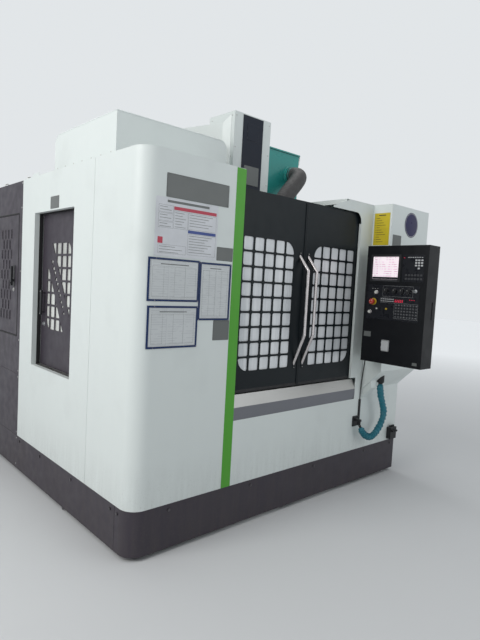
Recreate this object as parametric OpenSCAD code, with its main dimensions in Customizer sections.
// Vertical machining centre in its sheet metal enclosure, built from separate sub-parts.
// Lengths are in millimetres, +Z is up and the operator's side faces -Y.
// Modules are drawn from the enclosure's front left floor corner; placed() moves that to the model origin.

/* [Enclosure] */
// Width of the enclosure along the front
machine_width = 2625; // [2300:5:3000]
// Depth of the white side panels
side_depth = 1700; // [1600:5:1900]
// Height of the left side and the front left panel
left_height = 2245; // [2150:5:2400]
// Step down from the left roof to the right roof
roof_step = 23; // [0:1:60]
// Gap under the plinth
plinth_gap = 25; // [15:1:40]
// Height of the plinth's top edge
plinth_top = 285; // [200:5:350]
// Radius of the rounded front left corner
corner_radius = 100; // [60:5:150]
// Thickness of the folded sheet
sheet = 4; // [3:0.5:6]
// Depth along the side of the corner panel
corner_return = 530; // [400:5:700]
// Width of the green stripe beside the doors
stripe_width = 75; // [40:5:110]
// Top of the lower front panel
lower_panel_top = 700; // [600:5:760]
// Right end of the stainless sill, from the opening's right edge
sill_overrun = 64; // [40:2:90]
// Height of the sill's upright band
sill_band = 81; // [60:1:100]
// Depth of the folded front edges of the panels
panel_fold = 20; // [12:1:22]

// Height of the side panels' screw heads over the sheet
screw_proud = 1; // [0.5:0.5:3]

/* [Front doors] */
// Half the width of the door opening
door_half = 604; // [500:2:640]
// Bottom of the door leaves
door_bottom = 866; // [840:2:900]
// Depth of the header above the door leaves
door_header = 105; // [95:1:150]
// Depth of a door leaf
leaf_depth = 40; // [30:1:50]
// Front face of the leaves behind the front plane
leaf_setback = 25; // [23:1:35]
// Overlap of each leaf behind the opening's side
leaf_overlap = 15; // [8:1:40]
// Depth of a pane behind its leaf's face
pane_setback = 6; // [3:1:20]
// Travel of each leaf
door_travel = 540; // [300:10:540]
// Height of the window's lower edge
window_bottom = 1002; // [950:2:1050]
// Height of the window's upper edge
window_top = 1852; // [1750:2:1950]
// Distance of the windows' inner edges from the door seam
window_inner = 104; // [90:1:130]
// Distance of the windows' outer edges from the door seam
window_outer = 570; // [540:1:580]
// Large corner radius of the windows
window_radius = 85; // [40:5:120]
// Columns of window cells
window_columns = 5; // [3:1:7]
// Rows of window cells
window_rows = 9; // [5:1:12]
// Width of the bars between cells
window_bar = 13; // [8:1:20]
// Distance of the handles from the door seam
handle_offset = 44; // [30:1:60]
// Radius of the handle rod
handle_radius = 11; // [8:0.5:14]
// Stand-off of the handle rod in front of the front plane
handle_standoff = 55; // [40:1:65]
// Top fixing height of the handles
handle_top = 1760; // [1600:5:1850]
// Bottom fixing height of the handles
handle_bottom = 1034; // [950:5:1150]
// Slanted run at the upper end of a handle
handle_run_top = 95; // [60:5:140]
// Slanted run at the lower end of a handle
handle_run_bottom = 195; // [100:5:240]

/* [Side hatch] */
// Front edge of the side recess
hatch_front = 796; // [700:2:900]
// Width of the side recess
hatch_width = 656; // [500:2:720]
// Bottom of the side recess
hatch_bottom = 882; // [800:2:950]
// Height of the side recess
hatch_height = 1098; // [900:2:1200]
// Depth of the side recess
hatch_depth = 65; // [40:1:90]
// Gap around the hatch door
hatch_gap = 4; // [2:0.5:8]
// Thickness of the hatch door
hatch_leaf = 24; // [16:1:30]
// Depth of the hatch's pane behind its face
hatch_pane_setback = 6; // [3:1:9]
// Columns of hatch window cells
hatch_columns = 4; // [2:1:6]
// Rows of hatch window cells
hatch_rows = 7; // [4:1:10]

/* [Machine base] */
// Centre line of spindle, table and doors from the left side
spindle_x = 1322; // [1250:1:1380]
// Spindle axis behind the front plane
spindle_y = 750; // [700:5:800]
// Half width of the bed
bed_half = 450; // [380:5:520]
// Front end of the bed
bed_front = 230; // [180:5:260]
// Rear end of the bed
bed_rear = 1950; // [1900:5:2050]
// Bottom of the bed casting
bed_bottom = 110; // [80:5:150]
// Top of the bed casting
bed_top = 520; // [450:5:560]
// Radius of a levelling pad
pad_radius = 70; // [50:2:90]
// Radius of a levelling stud
stud_radius = 14; // [10:1:20]
// Height of a levelling pad
pad_height = 25; // [15:1:35]
// Width of a linear rail
rail_width = 35; // [25:1:45]
// Height of a linear rail
rail_height = 30; // [20:1:35]
// Running gap between a carriage and its rail
rail_gap = 0.5; // [0.3:0.1:1]
// Half spacing of the rails on the bed
y_rail_half = 280; // [220:5:330]
// Radius of a ball screw
screw_radius = 20; // [16:1:25]
// Side of a servo motor
motor_side = 130; // [100:5:140]
// Length of a servo motor
motor_length = 160; // [120:5:180]

/* [Table and saddle] */
// Half travel along X
x_travel = 400; // [250:10:400]
// Half travel along Y
y_travel = 250; // [150:10:250]
// Half length of the saddle
saddle_half = 645; // [600:5:680]
// Half width of the saddle
saddle_reach = 260; // [220:5:270]
// Thickness of the saddle casting
saddle_thick = 150; // [130:5:160]
// Half length of the table
table_half = 500; // [420:5:550]
// Half width of the table
table_reach = 250; // [200:5:255]
// Thickness of the table
table_thick = 105; // [90:5:120]
// Width of a table slot's neck
slot_neck = 18; // [14:1:22]
// Width of a table slot's foot
slot_foot = 30; // [26:1:36]
// Height of a table slot's foot
slot_foot_height = 13; // [10:1:16]
// Depth of a table slot's neck
slot_neck_depth = 20; // [16:1:26]
// Spacing of the table slots
slot_pitch = 130; // [100:5:160]

/* [Column and head] */
// Half width of the column
column_half = 336; // [320:2:360]
// Front face of the column
column_front = 1330; // [1320:5:1350]
// Rear face of the column
column_rear = 1900; // [1850:5:1950]
// Top of the column
column_top = 2480; // [2430:5:2560]
// Half spacing of the column's rails
z_rail_half = 200; // [180:5:220]
// Travel of the head
z_travel = 550; // [300:10:550]
// Spindle nose height with the head at the top
nose_height = 1605; // [1560:5:1650]
// Half width of the head casting at the front
head_half = 184; // [160:2:190]
// Front face of the head casting
head_front = 625; // [600:5:640]
// Top of the head casting
head_top = 2300; // [2200:10:2350]
// Radius of the spindle cartridge
cartridge_radius = 75; // [65:1:85]
// Radius of the spindle nose
spindle_radius = 44; // [38:1:50]
// Top of the white head cover
cover_top = 2830; // [2700:5:2900]
// Bottom of the white head cover
cover_bottom = 1850; // [1750:10:1950]
// Depth of the white head cover
cover_depth = 300; // [250:5:320]
// Width of the navy band on the head cover
band_width = 208; // [150:2:260]

/* [Tool magazine] */
// Distance between spindle and change position
change_reach = 540; // [520:5:560]
// Pitch radius of the tool pots
pot_circle = 300; // [270:5:310]
// Tool pots around the disc
pot_count = 20; // [12:2:22]
// Radius of a tool pot
pot_radius = 33; // [28:1:34]
// Length of a tool pot in front of its pivot
pot_length = 110; // [90:2:120]
// Radius of the tool flange
flange_radius = 31.5; // [26:0.5:32]
// Radius of the flange's groove
groove_radius = 26; // [20:0.5:28]
// Radius of the disc plate
disc_radius = 250; // [220:5:255]
// Running clearance of a shaft in its bore, on the radius
run_fit = 0.05; // [0.02:0.01:0.08]

/* [Hood and roof] */
// Left face of the hood
hood_left = 30; // [20:2:60]
// Right face of the hood
hood_right = 845; // [820:5:860]
// Front face of the hood
hood_front = 345; // [300:5:380]
// Rear face of the hood
hood_rear = 1190; // [1120:5:1250]
// Height of the hood's plates over the left roof
hood_height = 245; // [180:5:310]
// Height of the hood's tall right plate over the left roof
hood_plate_height = 435; // [320:5:500]
// Left edge of the right roof
roof_edge = 1730; // [1700:5:1780]

/* [Operator pod] */
// Left face of the pod
pod_left = 2080; // [2060:2:2120]
// Depth of the pod in front of the enclosure
pod_depth = 165; // [150:1:180]
// Height of the pod's lower front edge
pod_chin = 935; // [900:5:980]
// Height where the slanted underside meets the enclosure
pod_throat = 769; // [740:5:820]
// Left face of the pendant when swung out
pendant_left = 1900; // [1880:2:1910]
// Thickness of the pendant
pendant_thick = 176; // [140:2:177]
// Inner edge of the pendant in front of the front plane
pendant_inner = 94; // [88:1:120]
// Width of the pendant
pendant_width = 490; // [400:5:500]
// Bottom of the pendant
pendant_bottom = 1030; // [1000:5:1060]
// Height of the pendant
pendant_height = 858; // [700:2:870]
// Radius of the pendant's rounded rear edges
pendant_round = 40; // [10:2:60]
// Radius of the hinge knuckles
hinge_radius = 10; // [8:0.5:12]

/* [Rear units] */
// Depth of the electrical cabinet
cabinet_depth = 650; // [500:5:700]
// Width of the electrical cabinet
cabinet_width = 860; // [700:5:870]
// Top of the electrical cabinet
cabinet_top = 2240; // [2100:5:2245]
// Bottom of the cabinet door
cabinet_door_bottom = 1062; // [900:5:1150]
// Height of the cabinet door
cabinet_door_height = 932; // [800:5:1000]
// Width of the cabinet door
cabinet_door_width = 520; // [400:5:560]
// Wall of the electrical cabinet
cabinet_wall = 30; // [20:1:40]
// Reach of the cabinet's lever in front of the cabinet's side
lever_reach = 30; // [24:1:40]

/* [Sub-part] */
// Sub-part to show

/* [Hidden] */
$fn = 48;
pendant_front = -pendant_inner - pendant_width;
cabinet_rear = side_depth + cabinet_depth;
origin_x = (machine_width + screw_proud - lever_reach) / 2;
origin_y = (pendant_front + cabinet_rear) / 2;
right_height = left_height - roof_step;
door_top = left_height - door_header;
hood_top = left_height + hood_height;
hood_plate_top = left_height + hood_plate_height;
opening_left = spindle_x - door_half;
opening_right = spindle_x + door_half;
stripe_left = opening_left - stripe_width;
sill_right = opening_right + sill_overrun;
sill_top = door_bottom - 8;
leaf_back = leaf_setback + leaf_depth;
block_top = bed_top + rail_height + 35;
saddle_top = block_top + saddle_thick;
table_bottom = saddle_top + rail_height + 35;
table_top = table_bottom + table_thick;
x_screw_z = saddle_top - 10;
change_x = spindle_x - change_reach;
arm_x = spindle_x - change_reach / 2;
pivot_z = nose_height + pot_length;
disc_z = pivot_z + pot_circle;
disc_face = change_x + 14;
disc_thick = 18;
hinge_x = pod_left + hinge_radius;
hinge_y = -pod_depth - hinge_radius - 2;
window_plane = leaf_setback + pane_setback;
cell_w = (window_outer - window_inner - (window_columns - 1) * window_bar) / window_columns;
cell_h = (window_top - window_bottom - (window_rows - 1) * window_bar) / window_rows;
leaf_half = door_half + leaf_overlap;
rail_y = leaf_back + 5;
door_plane = hatch_depth;

// Helpers

module placed() {
  translate([-origin_x, -origin_y, 0]) children();
}

module block(x0, x1, y0, y1, z0, z1) {
  translate([x0, y0, z0]) cube([x1 - x0, y1 - y0, z1 - z0]);
}

module rod_z(x, y, z0, z1, r) {
  translate([x, y, z0]) cylinder(h = z1 - z0, r = r);
}

module rod_x(x0, x1, y, z, r) {
  translate([x0, y, z]) rotate([0, 90, 0]) cylinder(h = x1 - x0, r = r);
}

module rod_y(x, y0, y1, z, r) {
  translate([x, y0, z]) rotate([-90, 0, 0]) cylinder(h = y1 - y0, r = r);
}

// Prism drawn in Y and Z and run along X
module along_x(x0, x1) {
  translate([x0, 0, 0]) rotate([90, 0, 90]) linear_extrude(x1 - x0) children();
}

// Prism drawn in X and Z and run along +Y
module along_y(y0, y1) {
  translate([0, y1, 0]) rotate([90, 0, 0]) linear_extrude(y1 - y0) children();
}

// Outline with a large radius on one diagonal pair of corners
module leaf_outline(w, h, r, flip) {
  mirror([flip ? 1 : 0, 0]) translate([flip ? -w : 0, 0]) difference() {
    square([w, h]);
    difference() {
      square([r, r]);
      translate([r, r]) circle(r);
    }
    translate([w - r, h - r]) difference() {
      square([r, r]);
      circle(r);
    }
  }
}

// One cell with clipped corners
module cell(w, h, c) {
  polygon([[c, 0], [w - c, 0], [w, c], [w, h - c], [w - c, h], [c, h], [0, h - c], [0, c]]);
}

module cell_grid(w, h, columns, rows, bar) {
  cw = (w - (columns - 1) * bar) / columns;
  ch = (h - (rows - 1) * bar) / rows;
  for (i = [0 : columns - 1]) for (j = [0 : rows - 1])
    translate([i * (cw + bar), j * (ch + bar)]) cell(cw, ch, 7);
}

// Sheet bent round the front left corner, in plan
module corner_plan(along, back, r, t) {
  translate([r, 0]) square([along - r, t]);
  translate([0, r]) square([t, back - r]);
  translate([r, r]) intersection() {
    difference() {
      circle(r);
      circle(r - t);
    }
    translate([-r, -r]) square([r, r]);
  }
}

module screw_head(r, h) {
  cylinder(h = h, r = r, $fn = 6);
}

// Base

pad_spots = [for (i = [-1, 1]) for (j = [0 : 3])
  [spindle_x + i * (bed_half - 90), bed_front + 120 + j * (bed_rear - bed_front - 240) / 3]];
plinth_spots = [[180, 60], [1250, 60], [machine_width - 120, 60], [40, side_depth / 2],
  [machine_width - 40, side_depth / 2], [120, side_depth - 40], [machine_width - 120, side_depth - 40]];

module feet() {
  color("#8a8d90") placed() {
    for (p = pad_spots) {
      rod_z(p[0], p[1], 0, pad_height, pad_radius);
      rod_z(p[0], p[1], pad_height, bed_bottom, stud_radius);
      translate([p[0], p[1], bed_bottom - 30]) cylinder(h = 22, r = 28, $fn = 6);
    }
    for (p = plinth_spots) {
      rod_z(p[0], p[1], 0, 8, 32);
      rod_z(p[0], p[1], 8, plinth_gap, 9);
    }
  }
}

module bed() {
  groove = 75;
  color("#2f3a3f") placed() difference() {
    block(spindle_x - bed_half, spindle_x + bed_half, bed_front, bed_rear, bed_bottom, bed_top);
    block(spindle_x - groove, spindle_x + groove, bed_front - 1, column_front - 30, 430, bed_top + 1);
    for (s = [-1, 1]) for (j = [0 : 3])
      block(spindle_x + s * bed_half - 40, spindle_x + s * bed_half + 40,
        bed_front + 110 + j * 400, bed_front + 360 + j * 400, bed_bottom + 60, bed_top - 170);
  }
}

module column() {
  slot = 70;
  color("#2f8f8a") placed() difference() {
    union() {
      block(spindle_x - column_half, spindle_x + column_half, column_front, column_rear, bed_top, column_top);
      along_y(column_front + 120, side_depth - 20) polygon([
        [spindle_x - bed_half + 20, bed_top], [spindle_x + bed_half - 20, bed_top],
        [spindle_x + column_half, bed_top + 420], [spindle_x - column_half, bed_top + 420]]);
    }
    block(spindle_x - slot, spindle_x + slot, column_front - 1, column_front + 75, 1080, column_top + 1);
    for (k = [0 : 2]) block(spindle_x - 190, spindle_x + 190, column_rear - 120, column_rear + 1,
      bed_top + 160 + k * 600, bed_top + 600 + k * 600);
  }
}

// Rails, ball screws with their bearings, and servo motors that stay on the frame
module axis_drives() {
  y_screw_z = bed_top - 15;
  z_screw_y = column_front + 18;
  nut_gap = 50;
  color("#3a3d42") placed() {
    for (s = [-1, 1]) {
      block(spindle_x + s * y_rail_half - rail_width / 2, spindle_x + s * y_rail_half + rail_width / 2,
        bed_front + 10, column_front - 40, bed_top, bed_top + rail_height);
      block(spindle_x + s * z_rail_half - rail_width / 2, spindle_x + s * z_rail_half + rail_width / 2,
        column_front - rail_height, column_front, 1080, column_top - 40);
    }
    rod_y(spindle_x, bed_front, column_front - nut_gap, y_screw_z, screw_radius);
    block(spindle_x - 70, spindle_x + 70, bed_front, bed_front + 30, 430, bed_top);
    block(spindle_x - 70, spindle_x + 70, column_front - 70, column_front - 30, 430, bed_top);
    translate([spindle_x - motor_side / 2, bed_front - motor_length, y_screw_z - motor_side / 2])
      cube([motor_side, motor_length, motor_side]);
    rod_z(spindle_x, z_screw_y, 1100, column_top, screw_radius);
    block(spindle_x - 65, spindle_x + 65, column_front - 5, column_front + 75, 1080, 1110);
    block(spindle_x - 75, spindle_x + 75, column_front - 60, column_front + 130, column_top, column_top + 30);
    block(spindle_x - motor_side / 2, spindle_x + motor_side / 2, z_screw_y - motor_side / 2,
      z_screw_y + motor_side / 2, column_top + 30, column_top + 30 + motor_length);
    rod_z(change_x + 88, spindle_y + 250, disc_z + 60, disc_z + 190, 46);
  }
}

// Enclosure

module plinth() {
  seam = 3;
  color("#35333a") placed() translate([0, 0, plinth_gap]) linear_extrude(plinth_top - plinth_gap) {
    corner_plan(machine_width, 150, corner_radius, sheet);
    translate([0, 150 + seam]) square([sheet, side_depth - 150 - seam]);
    translate([machine_width - sheet, sheet]) square([sheet, side_depth - sheet]);
    translate([sheet, side_depth - sheet]) square([spindle_x - bed_half - sheet, sheet]);
    translate([spindle_x + bed_half, side_depth - sheet])
      square([machine_width - sheet - spindle_x - bed_half, sheet]);
    for (p = plinth_spots) translate([p[0] - 38, p[1] - 38]) square([76, 76]);
    square_to_wall();
  }
}

// Short webs that carry the plinth feet's blocks
module square_to_wall() {
  translate([sheet, side_depth / 2 - 20]) square([10, 40]);
  translate([machine_width - sheet - 10, side_depth / 2 - 20]) square([10, 40]);
  translate([1230, sheet]) square([40, 30]);
  translate([160, sheet]) square([40, 30]);
  translate([machine_width - 140, sheet]) square([40, 30]);
}

module plinth_screws() {
  color("#9a9ca0") placed() {
    for (x = [260, 900, 1540, 2180, machine_width - 60])
      translate([x, 0, plinth_top - 35]) rotate([90, 0, 0]) screw_head(9, 6);
    for (y = [120, 200, 720, 1240, side_depth - 50])
      translate([0, y, plinth_top - 35]) rotate([0, -90, 0]) screw_head(9, 6);
  }
}

module corner_panel() {
  color("#dfe6e4") placed() {
    translate([0, 0, plinth_top]) linear_extrude(left_height - plinth_top)
      corner_plan(stripe_left, corner_return - 2, corner_radius, sheet);
    block(stripe_left - sheet, stripe_left, sheet, panel_fold, plinth_top, left_height - sheet);
  }
}

module left_side_panel() {
  y0 = hatch_front;
  y1 = hatch_front + hatch_width;
  z0 = hatch_bottom;
  z1 = hatch_bottom + hatch_height;
  jamb = hatch_depth + hatch_leaf + 0.3;
  axis_y = y0 + hatch_gap + 4;
  color("#dfe6e4") placed() {
    difference() {
      block(0, sheet, corner_return, side_depth, plinth_top, left_height);
      block(-1, sheet + 1, y0, y1, z0, z1);
    }
    difference() {
      block(sheet, jamb + sheet, y0 - sheet, y1 + sheet, z0 - sheet, z1 + sheet);
      block(0, jamb, y0, y1, z0, z1);
      block(0, jamb + sheet + 1, y0 + 24, y1 - 24, z0 + 24, z1 - 24);
    }
    block(sheet, sheet + 20, side_depth - 2 * sheet, side_depth - sheet, plinth_top, left_height - sheet);
    for (z = [z0 + hatch_gap + 140, z1 - hatch_gap - 60]) {
      rod_z(hatch_depth - 4, axis_y, z, z + 36, 3.7);
      block(hatch_depth - 7, hatch_depth - 1, y0, axis_y, z, z + 36);
    }
  }
}

module right_side_panel() {
  x1 = machine_width;
  color("#dfe6e4") placed() {
    difference() {
      block(x1 - sheet, x1, sheet, side_depth, plinth_top, right_height - sheet);
      block(x1 - sheet - 1, x1 + 1, 820, 1420, 900, 1900);
    }
    block(x1 - 2 * sheet, x1 - sheet, 790, 1450, 870, 1930);
    for (z = [960, 1840]) for (y = [870, 1370])
      translate([x1 - sheet, y, z]) rotate([0, 90, 0]) screw_head(8, sheet + screw_proud);
  }
}

module front_lower_panel() {
  color("#d6dbd9") placed() {
    block(stripe_left + stripe_width, machine_width, 0, sheet, plinth_top, lower_panel_top);
    block(opening_left + 4, machine_width - sheet - 2, sheet, panel_fold, plinth_top, plinth_top + sheet);
  }
}

module front_right_panel() {
  header = right_height - sheet;
  color("#dfe6e4") placed() {
    along_y(0, sheet) difference() {
      polygon([[1579, door_top + 12], [1760, header], [machine_width, header],
        [machine_width, lower_panel_top], [sill_right, lower_panel_top], [sill_right, door_bottom + 4],
        [opening_right, door_bottom + 4], [opening_right, door_top - 70],
        [opening_right - 70, door_top], [1579, door_top]]);
      translate([opening_right - 70, door_top - 70]) circle(70);
    }
    block(opening_right, opening_right + sheet, sheet, panel_fold, door_bottom + 4, door_top - 80);
  }
}

module green_stripe() {
  color("#4ba33f") placed() {
    block(stripe_left, opening_left, 0, sheet, plinth_top, left_height - 3);
    block(opening_left - sheet, opening_left, sheet, panel_fold, plinth_top, left_height - sheet);
  }
}

module sill() {
  band_top = lower_panel_top + sill_band;
  back = leaf_back - 5;
  r = 40;
  color("#aeb2b5") placed() difference() {
    along_x(opening_left, sill_right) polygon([[0, lower_panel_top], [0, band_top],
      [leaf_setback - 2, sill_top], [back, sill_top], [back, sill_top - 3], [leaf_setback, sill_top - 3],
      [3, band_top - 1], [3, lower_panel_top]]);
    along_y(-10, 100) difference() {
      translate([sill_right - r, sill_top - r]) square([r + 1, r + 1]);
      translate([sill_right - r, sill_top - r]) circle(r);
    }
    along_y(-10, 100) difference() {
      translate([sill_right - r, lower_panel_top - 1]) square([r + 1, r + 1]);
      translate([sill_right - r, lower_panel_top + r]) circle(r);
    }
  }
}

// Rear walls of the work area, each between a side panel and the column
module rear_walls() {
  color("#c9cecf") placed() {
    block(sheet, spindle_x - column_half, side_depth - sheet, side_depth, bed_top, left_height - sheet);
    block(spindle_x + column_half, machine_width - sheet, side_depth - sheet, side_depth,
      bed_top, right_height - sheet);
    block(sheet, spindle_x - bed_half, side_depth - sheet, side_depth, plinth_top, bed_top);
    block(spindle_x + bed_half, machine_width - sheet, side_depth - sheet, side_depth, plinth_top, bed_top);
  }
}

// Sloped chip pans with their troughs, and the fixed way cover in front of the column
module inner_covers() {
  left = spindle_x - bed_half;
  right = spindle_x + bed_half;
  low = 330;
  lip = 460;
  side = 620;
  y1 = side_depth - 2 * sheet;
  color("#8f969a") placed() {
    along_y(corner_radius, y1) polygon([[sheet, side], [left - 130, lip], [left - 130, low], [left, low],
      [left, low + 3], [left - 127, low + 3], [left - 127, lip + 3], [sheet, side + 3]]);
    along_y(sheet, y1) polygon([[machine_width - sheet, side], [right + 130, lip], [right + 130, low],
      [right, low], [right, low + 3], [right + 127, low + 3], [right + 127, lip + 3],
      [machine_width - sheet, side + 3]]);
    block(spindle_x - 260, spindle_x + 260, column_front - 46, column_front - 38, bed_top, 1190);
    for (s = [-1, 1]) block(spindle_x + s * 235 - 20, spindle_x + s * 235 + 20,
      column_front - 38, column_front, 760, 800);
  }
}

module roof_panels() {
  color("#dfe6e4") placed() {
    difference() {
      block(sheet, hood_right, sheet, side_depth, left_height - sheet, left_height);
      block(opening_left, hood_right + 1, 0, hood_front - 30, left_height - 10, left_height + 1);
      block(hood_left + sheet, hood_right - sheet, hood_front + sheet, hood_rear - sheet,
        left_height - 10, left_height + 1);
      translate([0, 0, left_height - 10]) linear_extrude(20) difference() {
        square([corner_radius, corner_radius]);
        translate([corner_radius, corner_radius]) circle(corner_radius - sheet);
      }
    }
    block(hood_right - sheet, hood_right, hood_front - 30, side_depth - sheet, left_height - 34,
      left_height - sheet);
    block(opening_left - sheet, opening_left, panel_fold + 1, hood_front - 30, left_height - 34,
      left_height - sheet);
    block(30, 34, 1480, 1600, left_height, left_height + 36);
    difference() {
      block(roof_edge, machine_width, 0, side_depth, right_height - sheet, right_height);
      rod_z(roof_edge + 130, 800, right_height - 10, right_height + 1, 70);
    }
    block(roof_edge, roof_edge + sheet, sheet, side_depth - sheet, right_height - 34, right_height - sheet);
  }
}

// Raised guard round the tool magazine, open at the top
module hood() {
  r = 60;
  h = hood_top - left_height;
  z0 = left_height;
  color("#e3e9e8") placed() {
    translate([0, 0, z0]) {
      translate([hood_left, 0, 0]) along_x(0, sheet) translate([hood_front, 0]) difference() {
        square([hood_rear - hood_front, h]);
        translate([hood_rear - hood_front - r, h - r]) difference() {
          square([r, r]);
          circle(r);
        }
      }
      along_y(hood_front, hood_front + sheet) translate([hood_left + sheet, 0]) difference() {
        square([hood_right - hood_left - 2 * sheet, h]);
        translate([hood_right - hood_left - 2 * sheet - r, h - r]) difference() {
          square([r, r]);
          circle(r);
        }
      }
      block(hood_left + sheet, hood_right - sheet, hood_rear - sheet, hood_rear, 0, h - r);
    }
    along_x(hood_right - sheet, hood_right) polygon([[hood_front + 55, z0], [hood_rear - 250, z0],
      [hood_rear - 250, hood_plate_top], [hood_front + 55, hood_plate_top - 55]]);
    translate([hood_right - sheet, hood_front + 55, z0]) rotate([0, 0, -155]) translate([-sheet, 0, 0])
      rotate([90, 0, 90]) linear_extrude(sheet)
        polygon([[0, 0], [62, 0], [62, hood_plate_top - z0], [0, hood_plate_top - 55 - z0]]);
  }
}

// Door rails from side panel to side panel
module door_rails() {
  color("#9a9ea1") placed() {
    block(110, machine_width - sheet, rail_y, rail_y + 30, door_top - 60, door_top - 10);
    block(110, machine_width - sheet, rail_y, rail_y + 20, door_bottom - 26, door_bottom + 14);
    for (z = [door_top - 60, door_bottom - 26]) block(110, 150, sheet, rail_y, z, z + 40);
    for (x = [500, 1300, 2300])
      block(x, x + 40, sheet, rail_y, lower_panel_top - 60, lower_panel_top - 20);
    for (x = [500, 1300, 2300])
      block(x, x + 40, rail_y, rail_y + 20, lower_panel_top - 60, door_bottom - 26);
  }
}

// Doors. side is -1 for the left leaf and 1 for the right leaf

module door_leaf(side) {
  w = leaf_half - 1;
  x0 = side < 0 ? spindle_x - leaf_half : spindle_x + 1;
  wx = side < 0 ? spindle_x - window_outer : spindle_x + window_inner;
  ww = window_outer - window_inner;
  wh = window_top - window_bottom;
  meet = side < 0 ? spindle_x - 12 : spindle_x + 1;
  color("#23262b") placed() {
    difference() {
      block(x0, x0 + w, leaf_setback, leaf_back, door_bottom, door_top);
      translate([wx, 0, window_bottom]) along_y(leaf_setback - 1, leaf_back + 1) intersection() {
        leaf_outline(ww, wh, window_radius, side > 0);
        cell_grid(ww, wh, window_columns, window_rows, window_bar);
      }
      block(wx - 25, wx + ww + 25, window_plane, leaf_back + 1, window_bottom - 25, window_top + 25);
      translate([side < 0 ? x0 : x0 + w, 0, door_top]) rotate([0, 45, 0])
        cube([10, 200, 10], center = true);
    }
    for (x = [x0 + 60, x0 + w - 140]) {
      block(x, x + 80, leaf_back, rail_y + 34, door_top - 10, door_top - 2);
      block(x, x + 80, leaf_back, rail_y, door_bottom - 0, door_bottom + 14);
    }
    block(meet, meet + 11, leaf_setback - 5, leaf_setback, door_bottom + 10, door_top - 10);
  }
}

module door_left() {
  door_leaf(-1);
}

module door_right() {
  door_leaf(1);
}

module window_pane(side) {
  wx = side < 0 ? spindle_x - window_outer : spindle_x + window_inner;
  ww = window_outer - window_inner;
  color("#dfe8ea") placed() block(wx - 22, wx + ww + 22, window_plane, window_plane + 6,
    window_bottom - 22, window_top + 22);
}

module window_left() {
  window_pane(-1);
}

module window_right() {
  window_pane(1);
}

// Bow handle: a straight rod with slanted ends that reach back to the leaf
module bow_handle(side) {
  x = spindle_x + side * handle_offset;
  y = -handle_standoff;
  zt = handle_top - handle_run_top;
  zb = handle_bottom + handle_run_bottom;
  reach = leaf_setback + handle_standoff;
  $fn = 64;
  color("#d8d6d4") placed() {
    rod_z(x, y, zb, zt, handle_radius);
    translate([x, y, zt]) sphere(handle_radius + 0.4);
    translate([x, y, zb]) sphere(handle_radius + 0.4);
    difference() {
      union() {
        translate([x, y, zt]) rotate([-atan2(reach, handle_run_top), 0, 0])
          cylinder(h = 40 + norm([reach, handle_run_top]), r = handle_radius);
        translate([x, y, zb]) rotate([-180 + atan2(reach, handle_run_bottom), 0, 0])
          cylinder(h = 60 + norm([reach, handle_run_bottom]), r = handle_radius);
      }
      block(x - 60, x + 60, leaf_setback, leaf_setback + 200, handle_bottom - 250, handle_top + 150);
    }
  }
}

module handle_left() {
  bow_handle(-1);
}

module handle_right() {
  bow_handle(1);
}

// Side hatch

module side_door() {
  y0 = hatch_front + hatch_gap;
  z0 = hatch_bottom + hatch_gap;
  w = hatch_width - 2 * hatch_gap;
  h = hatch_height - 2 * hatch_gap;
  gy = y0 + 186;
  gz = z0 + 270;
  gw = 338;
  gh = 614;
  color("#4a4650") placed() {
    difference() {
      block(door_plane, door_plane + hatch_leaf, y0, y0 + w, z0, z0 + h);
      translate([0, gy, gz]) along_x(door_plane - 1, door_plane + hatch_leaf + 1) intersection() {
        leaf_outline(gw, gh, 70, false);
        cell_grid(gw, gh, hatch_columns, hatch_rows, 12);
      }
      block(door_plane + hatch_pane_setback, door_plane + hatch_leaf + 1, gy - 20, gy + gw + 20,
        gz - 20, gz + gh + 20);
    }
    for (z = [z0 + 380, z0 + 520]) block(door_plane - 22, door_plane, y0 + w - 62, y0 + w - 50, z, z + 12);
    block(door_plane - 30, door_plane - 22, y0 + w - 66, y0 + w - 46, z0 + 370, z0 + 542);
    for (z = [z0 + 60, z0 + h - 140]) {
      rod_z(door_plane - 4, y0 + 4, z, z + 80, 6);
      block(door_plane - 4, door_plane, y0 + 4, y0 + 34, z + 10, z + 70);
    }
  }
}

module side_window() {
  y0 = hatch_front + hatch_gap + 186;
  z0 = hatch_bottom + hatch_gap + 270;
  x1 = door_plane + hatch_pane_setback;
  color("#dfe8ea") placed() block(x1, x1 + 5, y0 - 18, y0 + 338 + 18, z0 - 18, z0 + 614 + 18);
}

// Plates, boards and tags on the panels, all bare

module grey_plates() {
  recess_top = hatch_bottom + hatch_height;
  color("#6f7472") placed() {
    block(stripe_left - 492, stripe_left - 56, -2, 0, left_height - 250, left_height - 123);
    block(stripe_left - 95, stripe_left - 3, -1.5, 0, left_height - 1023, left_height - 915);
    block(stripe_left - 83, stripe_left - 3, -1.5, 0, left_height - 480, left_height - 430);
    block(-2, 0, hatch_front + 236, hatch_front + 375, recess_top + 10, recess_top + 92);
    block(pod_left + 27, pod_left + 146, -pod_depth - 1.5, -pod_depth, right_height - 317, right_height - 228);
    rod_y(machine_width - 263, -pod_depth - 3, -pod_depth, right_height - 130, 97);
  }
}

// Left and right edge of each document frame, then its lower and upper edge below the panel's top
frame_spots = [[corner_radius, stripe_left - 247, 801, 581], [stripe_left - 245, stripe_left - 19, 903, 587],
  [corner_radius, stripe_left - 247, 1063, 838]];

module sheet_boards() {
  color("#e8ebee") placed() {
    block(corner_radius + 8, stripe_left - 138, -2, 0, left_height - 573, left_height - 253);
    for (f = frame_spots) block(f[0] + 6, f[1] - 6, -2, 0, left_height - f[2] + 8, left_height - f[3] - 8);
    block(pod_left - 1.5, pod_left, 15 - pod_depth, -10, right_height - 313, right_height - 63);
  }
}

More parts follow.
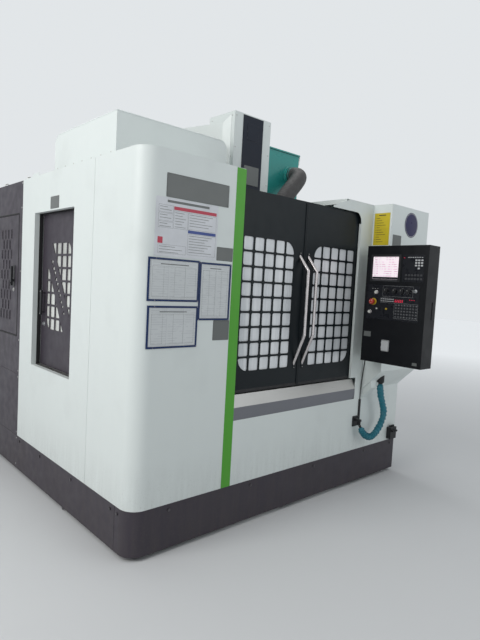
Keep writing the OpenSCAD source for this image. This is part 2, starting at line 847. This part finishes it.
module document_holders() {
  color("#2b4b86") placed() {
    for (f = frame_spots) difference() {
      block(f[0], f[1], -4, 0, left_height - f[2], left_height - f[3]);
      block(f[0] + 6, f[1] - 6, -5, 1, left_height - f[2] + 8, left_height - f[3] - 8);
    }
  }
}

// Operator pod

module pod() {
  slant = (pod_chin - pod_throat) / pod_depth;
  color("#dfe6e4") placed() {
    difference() {
      along_x(pod_left, machine_width) polygon([[0, pod_throat], [-pod_depth, pod_chin],
        [-pod_depth, right_height], [0, right_height]]);
      along_x(pod_left + 3, machine_width - 3) polygon([[1, pod_throat + 5 - slant],
        [1 - pod_depth + 2, pod_chin + 3], [1 - pod_depth + 2, right_height - 3], [1, right_height - 3]]);
    }
    along_x(pod_left + 10, pod_left + 80) polygon([[0, 700], [0, pod_throat],
      [-80, pod_throat + 80 * slant], [-80, 790]]);
    for (z = [pendant_bottom + 90, pendant_bottom + pendant_height - 150]) {
      rod_z(hinge_x, hinge_y, z, z + 28, hinge_radius);
      block(hinge_x, hinge_x + 50, -pod_depth - 4, -pod_depth, z, z + 28);
      block(hinge_x, hinge_x + 9, hinge_y, -pod_depth, z, z + 28);
    }
  }
}

// Centres of the buttons and knobs, from the pendant's inner edge and its bottom
control_rows = [[-99, 519], [-79, 449], [-54, 373], [-182, 532], [-250, 532], [-307, 532], [-359, 532]];
control_spots = [for (k = control_rows) [k[0] - pendant_inner, k[1] + pendant_bottom]];

module pendant_box() {
  x1 = pendant_left + pendant_thick;
  y0 = pendant_front;
  y1 = -pendant_inner;
  r = pendant_round;
  color("#1d1f24") placed() {
    difference() {
      translate([0, 0, pendant_bottom]) linear_extrude(pendant_height) union() {
        translate([pendant_left, y0]) square([pendant_thick - r, y1 - y0]);
        translate([x1 - r, y0 + r]) square([r, y1 - y0 - r - 6]);
        translate([x1 - r, y0 + r]) circle(r);
      }
      block(x1 - 90, x1 - 72, y0 - 1, y0 + 12, pendant_bottom + 340, pendant_bottom + 470);
      block(pendant_left - 1, pendant_left + 2, y1 - 440, y1 - 22, pendant_bottom + 320,
        pendant_bottom + 575);
      block(pendant_left - 1, pendant_left + 3, y1 - 268, y1 - 48, pendant_bottom + 612,
        pendant_bottom + 782);
      for (k = control_spots) rod_x(pendant_left - 1, pendant_left + 40, k[0], k[1], 7);
    }
    for (z = [pendant_bottom + 118, pendant_bottom + pendant_height - 122]) {
      rod_z(hinge_x, hinge_y, z, z + 28, hinge_radius);
      block(x1, hinge_x, hinge_y - 40, hinge_y, z, z + 28);
    }
    block(pendant_left - 4, pendant_left, y1 - 230, y1 - 174, pendant_bottom + 95, pendant_bottom + 171);
  }
}

module pendant_screen() {
  y1 = -pendant_inner - 48;
  color("#cfd6dc") placed()
    block(pendant_left + 1, pendant_left + 3, y1 - 218, y1 - 2, pendant_bottom + 614, pendant_bottom + 780);
}

// Places children on the pendant's face, from its inner edge and its bottom
module on_pendant() {
  placed() translate([pendant_left, -pendant_inner, pendant_bottom]) children();
}

// Membrane operator panel with its fixed keys
module pendant_keys() {
  color("#3a3d44") on_pendant() {
    difference() {
      block(0, 2, -439, -23, 321, 574);
      for (k = control_rows) rod_x(-1, 3, k[0], k[1], 7.2);
    }
    for (i = [0 : 6]) block(-2, 0, -447 + i * 17, -436 + i * 17, 769, 777);
    for (i = [0 : 2]) for (j = [0 : 2])
      block(-3, 0, -451 + i * 22, -435 + i * 22, 710 + j * 18, 723 + j * 18);
    block(-3, 0, -429, -413, 690, 703);
    for (i = [0 : 5]) for (j = [0 : 1])
      block(-2.5, 0, -451 + i * 23, -435 + i * 23, 616 + j * 34, 629 + j * 34);
    for (i = [0 : 7]) for (j = [0 : 4])
      block(-2.5, 0, -433 + i * 22.5, -417 + i * 22.5, 342 + j * 21, 356 + j * 21);
    for (j = [0 : 1]) block(-1.5, 0, -243, -143, 454 + j * 15, 461 + j * 15);
    block(-3, 0, -196, -182, 394, 408);
    block(-3, 0, -116, -102, 392, 406);
    block(-2, 0, -325, -255, 452, 472);
    block(-4, 0, -422, -400, 525, 549);
    for (i = [0 : 2]) block(-1.5, 0, -111 + i * 21, -105 + i * 21, 542, 548);
  }
}

// A push button at place k of the controls
module button(k, r, stem, cap) {
  on_pendant() translate([0, k[0], k[1]]) {
    rod_x(-cap, -6, 0, 0, r);
    rod_x(-6.5, stem, 0, 0, 6.95);
  }
}

module estop() {
  k = control_rows[1];
  color("#c8281e") on_pendant() translate([0, k[0], k[1]]) {
    rod_x(-32, -16, 0, 0, 20);
    translate([-32, 0, 0]) rotate([0, -90, 0]) cylinder(h = 6, r1 = 20, r2 = 14);
    rod_x(-16, 25, 0, 0, 6.95);
  }
}

module start_button() {
  color("#e8e8e4") button(control_rows[0], 11, 25, 14);
}

module stop_button() {
  color("#e8e8e4") button(control_rows[2], 11, 25, 14);
}

module knob(k) {
  color("#26282c") on_pendant() translate([0, k[0], k[1]]) {
    rod_x(-22, -2, 0, 0, 17);
    rod_x(-2.5, 25, 0, 0, 6.95);
    block(-26, -22, -3, 3, -14, 14);
  }
}

module knob_a() {
  knob(control_rows[3]);
}

module knob_b() {
  knob(control_rows[4]);
}

module knob_c() {
  knob(control_rows[5]);
}

module knob_d() {
  knob(control_rows[6]);
}

// Electrical cabinet with a louvred door on the machine's left side

module cabinet_body() {
  w = cabinet_wall;
  y0 = side_depth;
  dy = side_depth + 75;
  color("#4a4650") placed() {
    difference() {
      block(0, cabinet_width, y0, cabinet_rear, plinth_gap, cabinet_top);
      block(w, cabinet_width - w, y0 + w, cabinet_rear - w, 795, cabinet_top - w);
      block(-1, w + 1, dy, dy + cabinet_door_width, cabinet_door_bottom,
        cabinet_door_bottom + cabinet_door_height);
      block(-1, 3, y0 - 1, cabinet_rear + 1, 764, 768);
      block(-1, 3, y0 - 1, cabinet_rear + 1, plinth_top - 4, plinth_top);
    }
    block(cabinet_width - w - 70, cabinet_width - w, y0 + 90, cabinet_rear - 90, 860, 2100);
    for (i = [0 : 3]) block(cabinet_width - w - 260, cabinet_width - w - 70, y0 + 110 + i * 110,
      y0 + 190 + i * 110, 1550, 1950);
    for (i = [0 : 6]) block(cabinet_width - w - 150, cabinet_width - w - 70, y0 + 110 + i * 58,
      y0 + 156 + i * 58, 1200, 1320);
    for (z = [cabinet_door_bottom + 55, cabinet_door_bottom + cabinet_door_height - 191]) {
      rod_z(-7, dy + cabinet_door_width - 10, z, z + 28, 7);
      block(-4, 0, dy + cabinet_door_width - 10, dy + cabinet_door_width + 20, z, z + 28);
    }
  }
}

module cabinet_door() {
  y0 = side_depth + 75 + 3;
  z0 = cabinet_door_bottom + 3;
  w = cabinet_door_width - 6;
  h = cabinet_door_height - 6;
  color("#4a4650") placed() {
    difference() {
      block(0, 18, y0, y0 + w, z0, z0 + h);
      for (i = [0 : 3]) for (j = [0 : 8])
        block(-1, 19, y0 + 148 + i * 52, y0 + 154 + i * 52, z0 + 112 + j * 78 + (i % 2) * 39,
          z0 + 170 + j * 78 + (i % 2) * 39);
      rod_x(-1, 19, y0 + 78, z0 + 420, 10.05);
    }
    rod_z(-7, y0 + w - 7, z0 + 80, z0 + 160, 7);
    rod_z(-7, y0 + w - 7, z0 + h - 160, z0 + h - 80, 7);
    block(-4, 0, y0 + w - 14, y0 + w - 7, z0 + 80, z0 + 160);
    block(-4, 0, y0 + w - 14, y0 + w - 7, z0 + h - 160, z0 + h - 80);
  }
}

module cabinet_handle() {
  y = side_depth + 78 + 78;
  z = cabinet_door_bottom + 3 + 420;
  color("#2c2d31") placed() {
    block(4 - lever_reach, 18 - lever_reach, y - 9, y + 9, z - 40, z + 110);
    rod_x(18 - lever_reach, 24, y, z, 10);
    rod_x(-lever_reach, 4 - lever_reach, y, z - 20, 6);
  }
}

// Coolant tank with two pumps, and the lubricator on the rear wall
module rear_units() {
  x0 = spindle_x + bed_half + 20;
  x1 = machine_width - 90;
  y0 = side_depth + 30;
  y1 = cabinet_rear - 60;
  color("#3b4a52") placed() {
    for (x = [x0 + 40, x1 - 80]) for (y = [y0 + 40, y1 - 80]) block(x, x + 40, y, y + 40, 0, 60);
    block(x0, x1, y0, y1, 60, 330);
    block(x0 - 6, x1 + 6, y0 - 6, y1 + 6, 330, 342);
    for (x = [x1 - 160, x1 - 360]) {
      rod_z(x, y1 - 150, 342, 470, 75);
      rod_z(x, y1 - 150, 470, 660, 62);
    }
    for (x = [x1 - 160, x1 - 360]) rod_y(x, side_depth, y1 - 150, 580, 16);
    block(x0 + 60, x0 + 230, side_depth, side_depth + 140, 1200, 1480);
    rod_z(x0 + 145, side_depth + 70, 1480, 1510, 34);
  }
}

// Oil mist collector standing on the right roof
module mist_collector() {
  x0 = roof_edge + 122;
  x1 = roof_edge + 546;
  y0 = 1000;
  y1 = 1360;
  z0 = right_height;
  color("#2fa39c") placed() {
    for (x = [x0 + 10, x1 - 50]) for (y = [y0 + 10, y1 - 50]) block(x, x + 40, y, y + 40, z0, z0 + 30);
    block(x0, x1, y0, y1, z0 + 30, z0 + 554);
    block(x0 - 8, x1 + 8, y0 - 8, y1 + 8, z0 + 554, z0 + 566);
    for (x = [x0 + 30, (x0 + x1) / 2, x1 - 30]) for (y = [y0 + 30, y1 - 30])
      translate([x, y, z0 + 566]) screw_head(10, 9);
    rod_z((x0 + x1) / 2, (y0 + y1) / 2, z0 + 566, z0 + 600, 90);
  }
}

// Spots along the duct, from the roof's left edge, the front plane and the right roof
duct_path = [[435, 1000, 353], [435, 925, 353], [400, 850, 323], [300, 812, 233], [195, 800, 138],
  [136, 800, 68], [130, 800, 0]];

// Bent duct from the collector down to the roof
module mist_duct() {
  r = 72;
  color("#4d4a48") placed() translate([roof_edge, 0, right_height]) difference() {
    union() {
      for (i = [0 : len(duct_path) - 2]) {
        a = duct_path[i];
        d = duct_path[i + 1] - a;
        translate(a) rotate([0, acos(d[2] / norm(d)), atan2(d[1], d[0])]) cylinder(h = norm(d), r = r);
        if (i > 0) translate(a) sphere(r + 2);
      }
      rod_z(130, 800, 0, 8, 88);
      rod_y(435, 985, 1000, 353, 84);
    }
    block(-130, 670, 600, 1000, -200, 0);
  }
}

// Magazine carrier and the tool changer's gear housing, both on the column
module magazine_frame() {
  back = disc_face + disc_thick;
  color("#2f8f8a") placed() difference() {
    union() {
      rod_x(back + 4, change_x + 123, spindle_y, disc_z, 80);
      block(change_x + 53, change_x + 123, spindle_y, column_front + 90, disc_z - 60, disc_z + 60);
      block(change_x + 53, spindle_x - column_half, column_front + 10, column_front + 150,
        disc_z - 165, disc_z + 135);
      block(arm_x - 92, arm_x + 54, spindle_y - 90, spindle_y + 90, nose_height + 175, nose_height + 455);
      block(arm_x - 62, arm_x + 8, spindle_y + 90, column_front, nose_height + 245, nose_height + 395);
    }
    rod_z(arm_x, spindle_y, nose_height + 174, nose_height + 330, 28 + run_fit);
    rod_x(back, back + 60, spindle_y, disc_z, 35 + run_fit);
  }
}

// Spots along the wrapped cable under the pod
sleeve_path = [[2205, -92, 858], [2205, -92, 790], [2250, -92, 660], [2290, -90, 550], [2230, -88, 450],
  [2125, -80, 392], [2055, -62, 430], [2026, -48, 482]];

module cable_sleeve() {
  r = 26;
  color("#1f7f93") placed() for (i = [1 : len(sleeve_path) - 2]) {
    a = sleeve_path[i];
    d = sleeve_path[i + 1] - a;
    translate(a) sphere(r + 2);
    translate(a) rotate([0, acos(d[2] / norm(d)), atan2(d[1], d[0])]) cylinder(h = norm(d), r = r);
  }
}

// Connector, slot cover, valve block with its fittings, and the work light
module fittings() {
  a = sleeve_path[0];
  b = sleeve_path[1];
  c = sleeve_path[7];
  slant = (pod_chin - pod_throat) / pod_depth;
  color("#2a2b2e") placed() {
    difference() {
      union() {
        rod_z(a[0], a[1], b[2] + 28.2, b[2] + 100, 18);
        rod_z(a[0], a[1], b[2] + 40, b[2] + 100, 28);
      }
      along_x(pod_left, machine_width) polygon([[0, pod_throat], [-pod_depth, pod_chin],
        [-pod_depth, right_height], [0, right_height]]);
    }
    block(2052, 2074, -8, 0, 480, 690);
    block(1985, 2045, -8, 0, 480, 560);
    rod_y(c[0] - 10, -58, -8, c[2] + 50, 12);
    rod_z(c[0] - 10, c[1], c[2] + 18, c[2] + 50, 9);
    block(machine_width - 125, machine_width - 35, -40, 0, 300, 400);
    for (x = [machine_width - 105, machine_width - 80, machine_width - 55]) {
      rod_y(x, -58, -40, 370, 9);
      rod_z(x, -20, 400, 414, 8);
    }
    rod_z(machine_width - 25, -20, 330, 350, 6);
    block(machine_width - 35, machine_width - 19, -30, -10, 320, 344);
    block(sheet, sheet + 60, 300, 360, 1750, 2150);
  }
}

// Moving machine parts

module saddle() {
  y0 = spindle_y - saddle_reach;
  y1 = spindle_y + saddle_reach;
  trough = 62;
  rail = rail_width / 2;
  color("#2f8f8a") placed() {
    difference() {
      block(spindle_x - saddle_half, spindle_x + saddle_half, y0, y1, block_top, saddle_top);
      block(spindle_x - saddle_half - 1, spindle_x + saddle_half + 1, spindle_y - trough,
        spindle_y + trough, saddle_top - 70, saddle_top + 1);
    }
    for (s = [-1, 1]) {
      block(spindle_x - saddle_half, spindle_x + saddle_half, spindle_y + s * 170 - rail,
        spindle_y + s * 170 + rail, saddle_top, saddle_top + rail_height);
      for (j = [-1, 1]) difference() {
        block(spindle_x + s * y_rail_half - 45, spindle_x + s * y_rail_half + 45,
          spindle_y + j * 190 - 60, spindle_y + j * 190 + 60, bed_top + 6, block_top);
        block(spindle_x + s * y_rail_half - rail - rail_gap, spindle_x + s * y_rail_half + rail + rail_gap,
          spindle_y + j * 190 - 61, spindle_y + j * 190 + 61, bed_top, bed_top + rail_height);
      }
      block(spindle_x + s * (saddle_half - 20) - 20, spindle_x + s * (saddle_half - 20) + 20,
        spindle_y - trough, spindle_y + trough, saddle_top - 70, saddle_top + 40);
    }
    rod_x(spindle_x - saddle_half, spindle_x + saddle_half, spindle_y, x_screw_z, screw_radius);
    difference() {
      block(spindle_x - 50, spindle_x + 50, spindle_y - 50, spindle_y + 50, bed_top - 60, block_top);
      rod_y(spindle_x, spindle_y - 51, spindle_y + 51, bed_top - 15, screw_radius + run_fit);
    }
    block(spindle_x + saddle_half, spindle_x + saddle_half + motor_length, spindle_y - motor_side / 2,
      spindle_y + motor_side / 2, x_screw_z - motor_side / 2, x_screw_z + motor_side / 2);
  }
}

module table() {
  y0 = spindle_y - table_reach;
  y1 = spindle_y + table_reach;
  rail = rail_width / 2;
  foot_z = table_top - slot_neck_depth - slot_foot_height;
  color("#9fa4a7") placed() {
    difference() {
      block(spindle_x - table_half, spindle_x + table_half, y0, y1, table_bottom, table_top);
      for (k = [-1 : 1]) {
        block(spindle_x - table_half - 1, spindle_x + table_half + 1,
          spindle_y + k * slot_pitch - slot_neck / 2, spindle_y + k * slot_pitch + slot_neck / 2,
          foot_z, table_top + 1);
        block(spindle_x - table_half - 1, spindle_x + table_half + 1,
          spindle_y + k * slot_pitch - slot_foot / 2, spindle_y + k * slot_pitch + slot_foot / 2,
          foot_z, foot_z + slot_foot_height);
      }
    }
    for (s = [-1, 1]) for (j = [-1, 1]) difference() {
      block(spindle_x + j * 180 - 60, spindle_x + j * 180 + 60, spindle_y + s * 170 - 45,
        spindle_y + s * 170 + 45, saddle_top + 6, table_bottom);
      block(spindle_x + j * 180 - 61, spindle_x + j * 180 + 61, spindle_y + s * 170 - rail - rail_gap,
        spindle_y + s * 170 + rail + rail_gap, saddle_top, saddle_top + rail_height);
    }
    difference() {
      block(spindle_x - 50, spindle_x + 50, spindle_y - 45, spindle_y + 45, x_screw_z - 45, table_bottom);
      rod_x(spindle_x - 51, spindle_x + 51, spindle_y, x_screw_z, screw_radius + run_fit);
    }
  }
}

module spindle_head() {
  rear = column_front - 62;
  nut_y = column_front + 18;
  rail = rail_width / 2;
  z0 = nose_height + 115;
  color("#2f8f8a") placed() {
    difference() {
      union() {
        block(spindle_x - head_half, spindle_x + head_half, head_front, 900, z0, head_top);
        block(spindle_x - 150, spindle_x + 150, 900, rear, z0 + 50, head_top - 20);
        block(spindle_x - 240, spindle_x + 240, rear - 60, rear, z0 + 30, head_top - 10);
        rod_z(spindle_x, spindle_y, nose_height + 20, z0, cartridge_radius);
      }
      rod_z(spindle_x, spindle_y, nose_height, head_top - 100, spindle_radius + run_fit);
    }
    for (s = [-1, 1]) for (z = [z0 + 40, head_top - 140]) difference() {
      block(spindle_x + s * z_rail_half - 45, spindle_x + s * z_rail_half + 45, rear,
        column_front - 6, z, z + 120);
      block(spindle_x + s * z_rail_half - rail - rail_gap, spindle_x + s * z_rail_half + rail + rail_gap,
        column_front - rail_height, column_front, z - 1, z + 121);
    }
    difference() {
      block(spindle_x - 45, spindle_x + 45, rear, nut_y + 40, z0 + 240, z0 + 340);
      rod_z(spindle_x, nut_y, z0 + 239, z0 + 341, screw_radius + run_fit);
    }
    block(spindle_x - 100, spindle_x + 100, spindle_y - 100, spindle_y + 100, head_top, head_top + 380);
    rod_z(spindle_x, spindle_y, head_top + 380, head_top + 430, 80);
  }
}

// Front cover of the head, and the plate that guards the column's rails below it
module head_cover() {
  x0 = spindle_x - head_half - sheet;
  x1 = spindle_x + head_half + sheet;
  y0 = head_front - sheet;
  z0 = nose_height + 145;
  color("#e3e9e8") placed() {
    difference() {
      block(x0, x1, y0, y0 + cover_depth, cover_bottom, cover_top);
      block(x0 + sheet, x1 - sheet, y0 + sheet, y0 + cover_depth + 1, cover_bottom - 1, cover_top - sheet);
    }
    block(spindle_x - 260, spindle_x + 260, column_front - 62, column_front - 54, z0 - 565, z0 - 1);
    block(spindle_x - 240, spindle_x + 240, column_front - 122, column_front - 54, z0 - 1, z0);
  }
}

// Navy band on the head cover with a bare square plate
module head_stripe() {
  y0 = head_front - sheet;
  x0 = spindle_x - band_width / 2;
  color("#222a3a") placed() {
    block(x0, x0 + band_width, y0 - 3, y0, cover_bottom + 40, cover_top - 8);
    block(x0 + 27, x0 + band_width - 27, y0 - 5, y0 - 3, cover_top - 520, cover_top - 375);
    block(x0 + 45, x0 + band_width - 45, y0 - 5, y0 - 3, cover_top - 185, cover_top - 65);
  }
}

module tool_body(z) {
  translate([0, 0, z]) {
    translate([0, 0, -8]) cylinder(h = 8, r = flange_radius);
    translate([0, 0, -18]) cylinder(h = 10, r = groove_radius);
    translate([0, 0, -26]) cylinder(h = 8, r = flange_radius);
    translate([0, 0, -66]) cylinder(h = 40, r = 24);
    translate([0, 0, -140]) cylinder(h = 74, r = 8);
  }
}

module spindle() {
  color("#b9bcbf") placed() translate([spindle_x, spindle_y, 0]) {
    rod_z(0, 0, nose_height + 8, head_top - 110, spindle_radius);
    rod_z(0, 0, nose_height, nose_height + 8, spindle_radius + 16);
    tool_body(nose_height);
    for (s = [-1, 1]) block(s * 38 - 8, s * 38 + 8, -8, 8, nose_height - 8, nose_height);
  }
}

// Places children at pot position a, with the pot's axis along -Z from its pivot
module at_pot(a) {
  translate([change_x, spindle_y, disc_z]) rotate([a, 0, 0]) translate([0, 0, -pot_circle])
    rotate([0, 90, 0]) children();
}

module tool_disc() {
  step = 360 / pot_count;
  pin = 4;
  color("#6c7276") placed() {
    rod_x(disc_face, disc_face + disc_thick, spindle_y, disc_z, disc_radius);
    rod_x(disc_face + disc_thick, disc_face + disc_thick + 55, spindle_y, disc_z, 35);
    for (i = [0 : pot_count - 1]) translate([change_x, spindle_y, disc_z]) rotate([i * step, 0, 0])
      for (s = [-1, 1]) difference() {
        block(-9, 14 + disc_thick / 2, s * (pot_radius + 3) - 2, s * (pot_radius + 3) + 2,
          -pot_circle - 11, -disc_radius + 6);
        rod_y(0, s * (pot_radius + 3) - 3, s * (pot_radius + 3) + 3, -pot_circle, pin + run_fit);
      }
  }
}

// One tool pot with its cross pin and the tool it holds, standing on the axis
module pot() {
  translate([0, 0, -pot_length]) difference() {
    cylinder(h = pot_length + 8, r = pot_radius);
    translate([0, 0, -1]) cylinder(h = 70, r = 22);
  }
  rod_y(0, -pot_radius - 5, pot_radius + 5, 0, 4);
  tool_body(-pot_length);
  translate([0, 0, -pot_length]) cylinder(h = 60, r1 = 21, r2 = 14);
}

module tool_pots() {
  step = 360 / pot_count;
  color("#2e3136") placed() for (i = [1 : pot_count - 1]) at_pot(i * step) pot();
}

module change_pot() {
  color("#2e3136") placed() at_pot(0) pot();
}

// Double gripper arm with its shaft, parked along Y
module atc_arm() {
  r = change_reach / 2;
  z = nose_height - 13;
  color("#a4a8ab") placed() translate([arm_x, spindle_y, 0]) {
    rod_z(0, 0, z + 12, nose_height + 325, 28);
    rod_z(0, 0, z - 13, z + 12, 48);
    difference() {
      union() {
        block(-22, 22, -r + 50, r - 50, z - 12, z + 11);
        for (s = [0, 180]) rotate([0, 0, s]) {
          block(-36, 6, r - 50, r + 40, z - 3.5, z + 3.5);
          block(-22, 6, r - 60, r - 40, z - 3.5, z + 3.5);
        }
      }
      for (s = [0, 180]) rotate([0, 0, s]) {
        translate([0, r, z - 20]) cylinder(h = 40, r = groove_radius + 0.4);
        translate([0, r, z + 5]) cylinder(h = 40, r = flange_radius + 0.6);
        translate([0, r, z - 45]) cylinder(h = 40, r = flange_radius + 0.6);
        block(0, 60, r - groove_radius - 0.4, r + groove_radius + 0.4, z - 20, z + 20);
      }
    }
  }
}

feet();
bed();
column();
axis_drives();
plinth();
plinth_screws();
corner_panel();
left_side_panel();
right_side_panel();
front_lower_panel();
front_right_panel();
green_stripe();
sill();
rear_walls();
inner_covers();
roof_panels();
hood();
door_rails();
pod();
grey_plates();
sheet_boards();
document_holders();
cabinet_body();
rear_units();
mist_collector();
mist_duct();
magazine_frame();
cable_sleeve();
fittings();
saddle();
table();
spindle_head();
head_cover();
head_stripe();
spindle();
tool_disc();
tool_pots();
change_pot();
atc_arm();
door_left();
door_right();
window_left();
window_right();
handle_left();
handle_right();
side_door();
side_window();
cabinet_door();
cabinet_handle();
pendant_box();
pendant_screen();
pendant_keys();
estop();
start_button();
stop_button();
knob_a();
knob_b();
knob_c();
knob_d();
